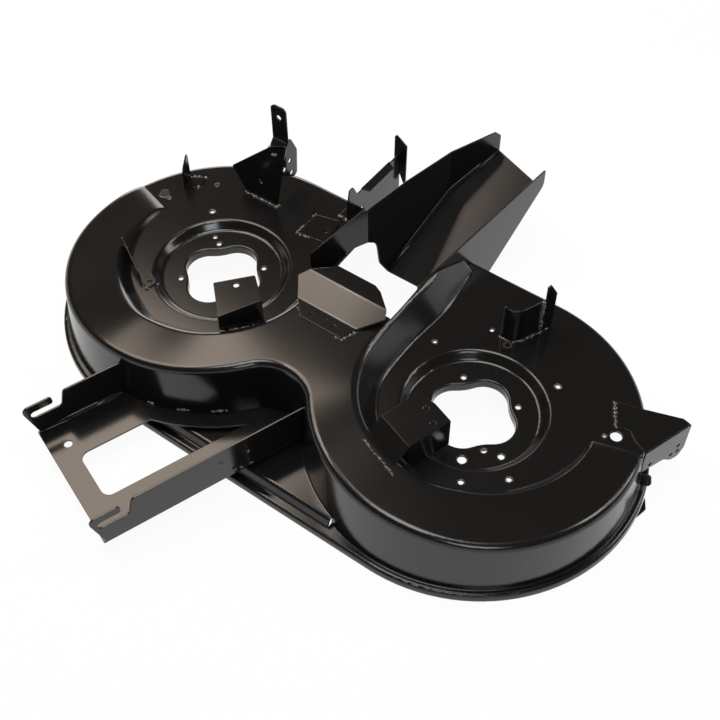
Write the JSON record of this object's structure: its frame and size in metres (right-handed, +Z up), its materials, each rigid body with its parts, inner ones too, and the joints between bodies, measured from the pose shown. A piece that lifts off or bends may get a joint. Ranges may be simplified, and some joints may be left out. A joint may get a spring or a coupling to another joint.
{
  "type": "lawn mower deck",
  "caption": "Gloss black pressed steel lawn tractor mower deck with twin blade chambers, a rear discharge chute and welded hanger brackets.",
  "frame": {"origin": "on the floor plane under the rim, at the middle of the whole outline seen from above", "axes": "+X from the left blade chamber to the right one, +Y rearwards to the discharge chute, +Z up along the spindle axes"},
  "size_m": [1.0994, 0.9982, 0.315],
  "materials": {
    "deck_paint": "gloss",
    "chute_paint": "gloss",
    "bracket_paint": "gloss"
  },
  "bodies": {
    "root": {"deck_shell": "deck_paint", "chute_channel": "chute_paint", "chute_side_plate": "chute_paint", "deflector_plate": "bracket_paint", "front_hanger_bracket": "bracket_paint", "left_plate_bracket": "bracket_paint", "suspension_gusset": "bracket_paint", "strap_lug": "bracket_paint", "four_hole_plate": "bracket_paint", "rear_lift_bracket": "bracket_paint", "rear_ear_plate": "bracket_paint", "doubler_patch": "bracket_paint", "horn_tab": "bracket_paint", "tunnel_lug": "bracket_paint", "two_hole_bracket": "bracket_paint", "curved_bracket": "bracket_paint", "tall_lug": "bracket_paint", "right_side_bracket": "bracket_paint", "skirt_tab": "bracket_paint", "rim_corner_tab": "bracket_paint", "weld_nuts": "bracket_paint"}
  },
  "joints": []
}
